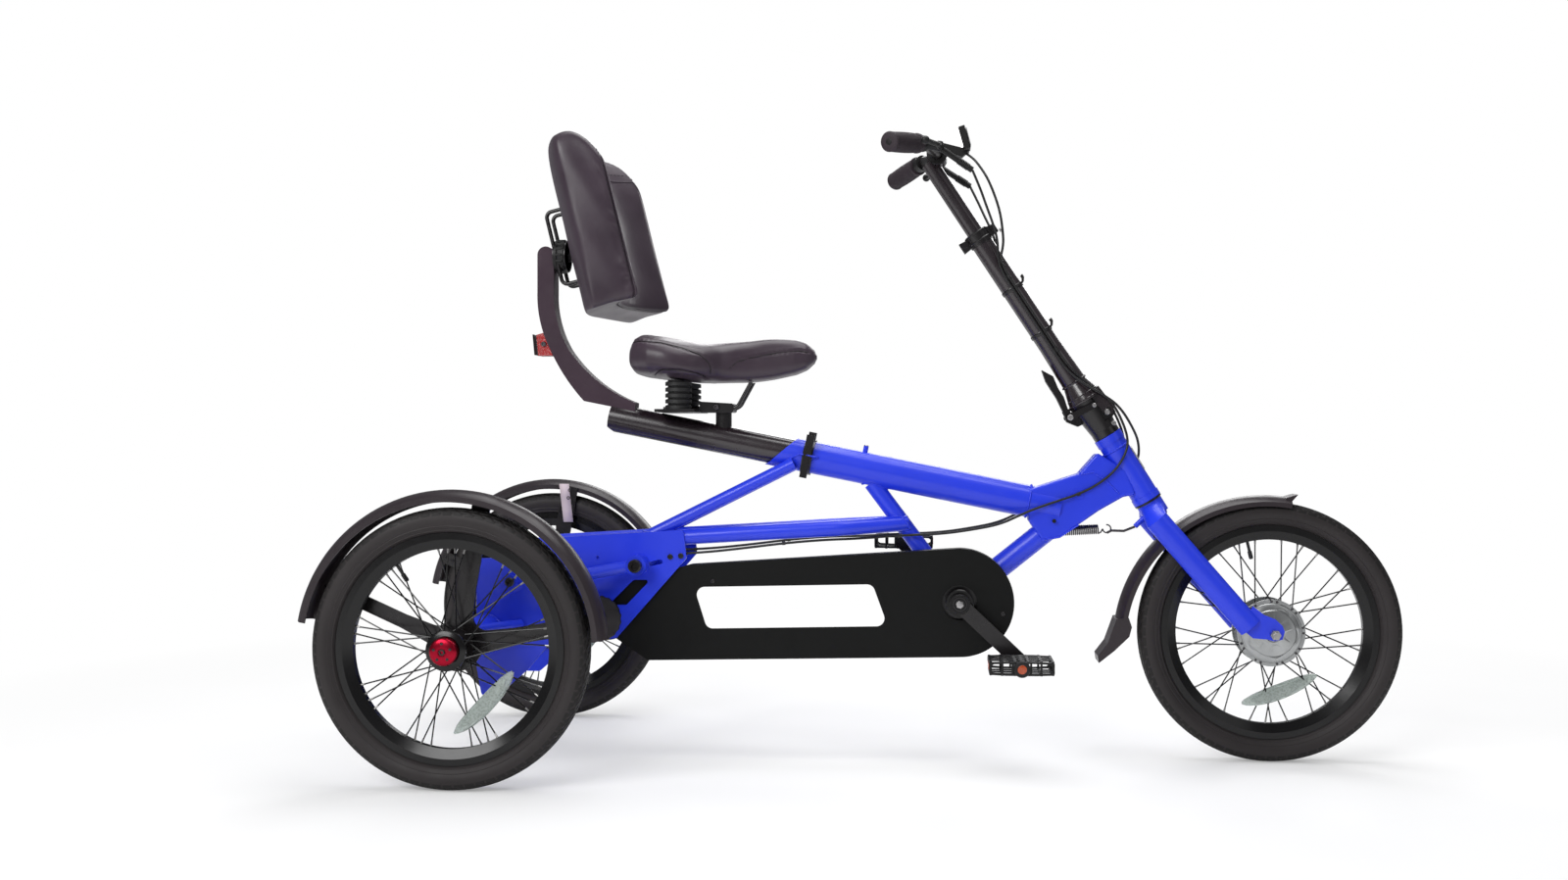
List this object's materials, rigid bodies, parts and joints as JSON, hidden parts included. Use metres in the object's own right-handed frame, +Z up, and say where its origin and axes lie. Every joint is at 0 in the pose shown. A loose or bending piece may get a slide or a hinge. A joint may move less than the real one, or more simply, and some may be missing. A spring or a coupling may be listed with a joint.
{
  "type": "semi-recumbent pedal tricycle",
  "caption": "Pedal tricycle with two wheels behind, one steered wheel in front, a sliding seat with a backrest, a folding handlebar mast and a guarded chain.",
  "frame": {"origin": "On the ground, under the middle of the whole tricycle's length, in its mid plane.", "axes": "+X points forward to the steered wheel, +Y to the rider's left, +Z up."},
  "size_m": [2.0556, 0.79, 1.2505],
  "materials": {
    "blue_paint": "bright blue gloss powder coat",
    "black_metal": "satin black",
    "black_plastic": "satin black plastic",
    "vinyl": "soft black vinyl",
    "tyre": "dark rubber",
    "grip": "dark rubber",
    "silver": "machined",
    "steel": "plain",
    "red_lens": "red lens",
    "elastomer": "black rubber",
    "cable": "black cable sleeve"
  },
  "bodies": {
    "frame": {"main_tube": "blue_paint", "head_tube": "blue_paint", "down_tube": "blue_paint", "seat_tube": "blue_paint", "lower_stays": "blue_paint", "upper_stays": "blue_paint", "rear_plates": "blue_paint", "pivot_bolt": "steel", "jackshaft": "steel", "chain": "steel", "chain_guard": "black_metal", "seat_clamp": "black_metal", "return_spring": "black_metal", "cable_frame": "cable", "swing_arm_right": "blue_paint", "swing_arm_left": "blue_paint", "fender_bracket_right": "black_metal", "fender_bracket_left": "black_metal", "rear_fender_right": "black_plastic", "rear_fender_left": "black_plastic"},
    "seat": {"seat_tube_slider": "black_metal", "seat_upright": "black_metal", "saddle_post": "black_metal", "saddle_rails": "black_metal", "saddle_springs": "elastomer", "saddle": "vinyl", "backrest_bracket": "black_metal", "backrest": "vinyl", "rear_reflector": "red_lens"},
    "steering": {"fork_crown": "blue_paint", "fork_leg_right": "blue_paint", "fork_leg_left": "blue_paint", "front_axle": "steel", "front_fender": "black_plastic", "stem_base": "black_metal", "mast_latch": "black_metal", "cable_stem": "cable"},
    "mast": {"mast_tube": "black_metal", "height_collar": "black_metal", "cable_mast": "cable"},
    "bars": {"upper_stem": "black_metal", "handlebar": "black_metal", "grip_right": "grip", "grip_left": "grip", "brake_lever_right": "black_plastic", "brake_lever_left": "black_plastic", "display": "black_plastic", "cable_bars": "cable"},
    "front_wheel": {"front_wheel_tyre": "tyre", "front_wheel_rim": "black_metal", "front_wheel_hub": "silver"},
    "rear_wheel_right": {"rear_right_tyre": "tyre", "rear_right_rim": "black_metal", "rear_right_hub": "black_metal"},
    "rear_wheel_left": {"rear_left_tyre": "tyre", "rear_left_rim": "black_metal", "rear_left_hub": "black_metal"},
    "cranks": {"crank_set": "black_metal"},
    "right_pedal": {"pedal_right": "black_plastic"},
    "left_pedal": {"pedal_left": "black_plastic"}
  },
  "joints": [
    {"name": "seat_slide", "type": "slide", "parent": "frame", "child": "seat", "axis": [0.9806, 0, -0.1959], "range_m": [-0.12, 0.08]},
    {"name": "steer", "type": "hinge", "parent": "frame", "child": "steering", "pos_m": [0.54, 0, 0.511], "axis": [-0.524, 0, 0.8517], "range_deg": [-40, 40], "stiffness_Nm_per_rad": 18, "deforming": ["return_spring", "cable_frame"]},
    {"name": "mast_fold", "type": "hinge", "parent": "steering", "child": "mast", "pos_m": [0.46203, 0, 0.68904], "axis": [0, 1, 0], "range_deg": [0, 110], "deforming": ["cable_stem"]},
    {"name": "bars_height", "type": "slide", "parent": "mast", "child": "bars", "axis": [-0.5461, 0, 0.8377], "range_m": [-0.1, 0.05], "deforming": ["cable_bars"]},
    {"name": "front_wheel_spin", "type": "hinge", "parent": "steering", "child": "front_wheel", "pos_m": [0.774, 0, 0.254], "axis": [0, 1, 0], "continuous": true},
    {"name": "rear_wheel_right_spin", "type": "hinge", "parent": "frame", "child": "rear_wheel_right", "pos_m": [-0.746, -0.345, 0.254], "axis": [0, 1, 0], "continuous": true},
    {"name": "rear_wheel_left_spin", "type": "hinge", "parent": "frame", "child": "rear_wheel_left", "pos_m": [-0.746, 0.345, 0.254], "axis": [0, 1, 0], "continuous": true},
    {"name": "crank_spin", "type": "hinge", "parent": "frame", "child": "cranks", "pos_m": [0.17, 0, 0.311], "axis": [0, 1, 0], "continuous": true},
    {"name": "pedal_right_spin", "type": "hinge", "parent": "cranks", "child": "right_pedal", "pos_m": [0.28262, 0, 0.2045], "axis": [0, 1, 0], "continuous": true},
    {"name": "pedal_left_spin", "type": "hinge", "parent": "cranks", "child": "left_pedal", "pos_m": [0.05738, 0, 0.4175], "axis": [0, 1, 0], "continuous": true}
  ]
}
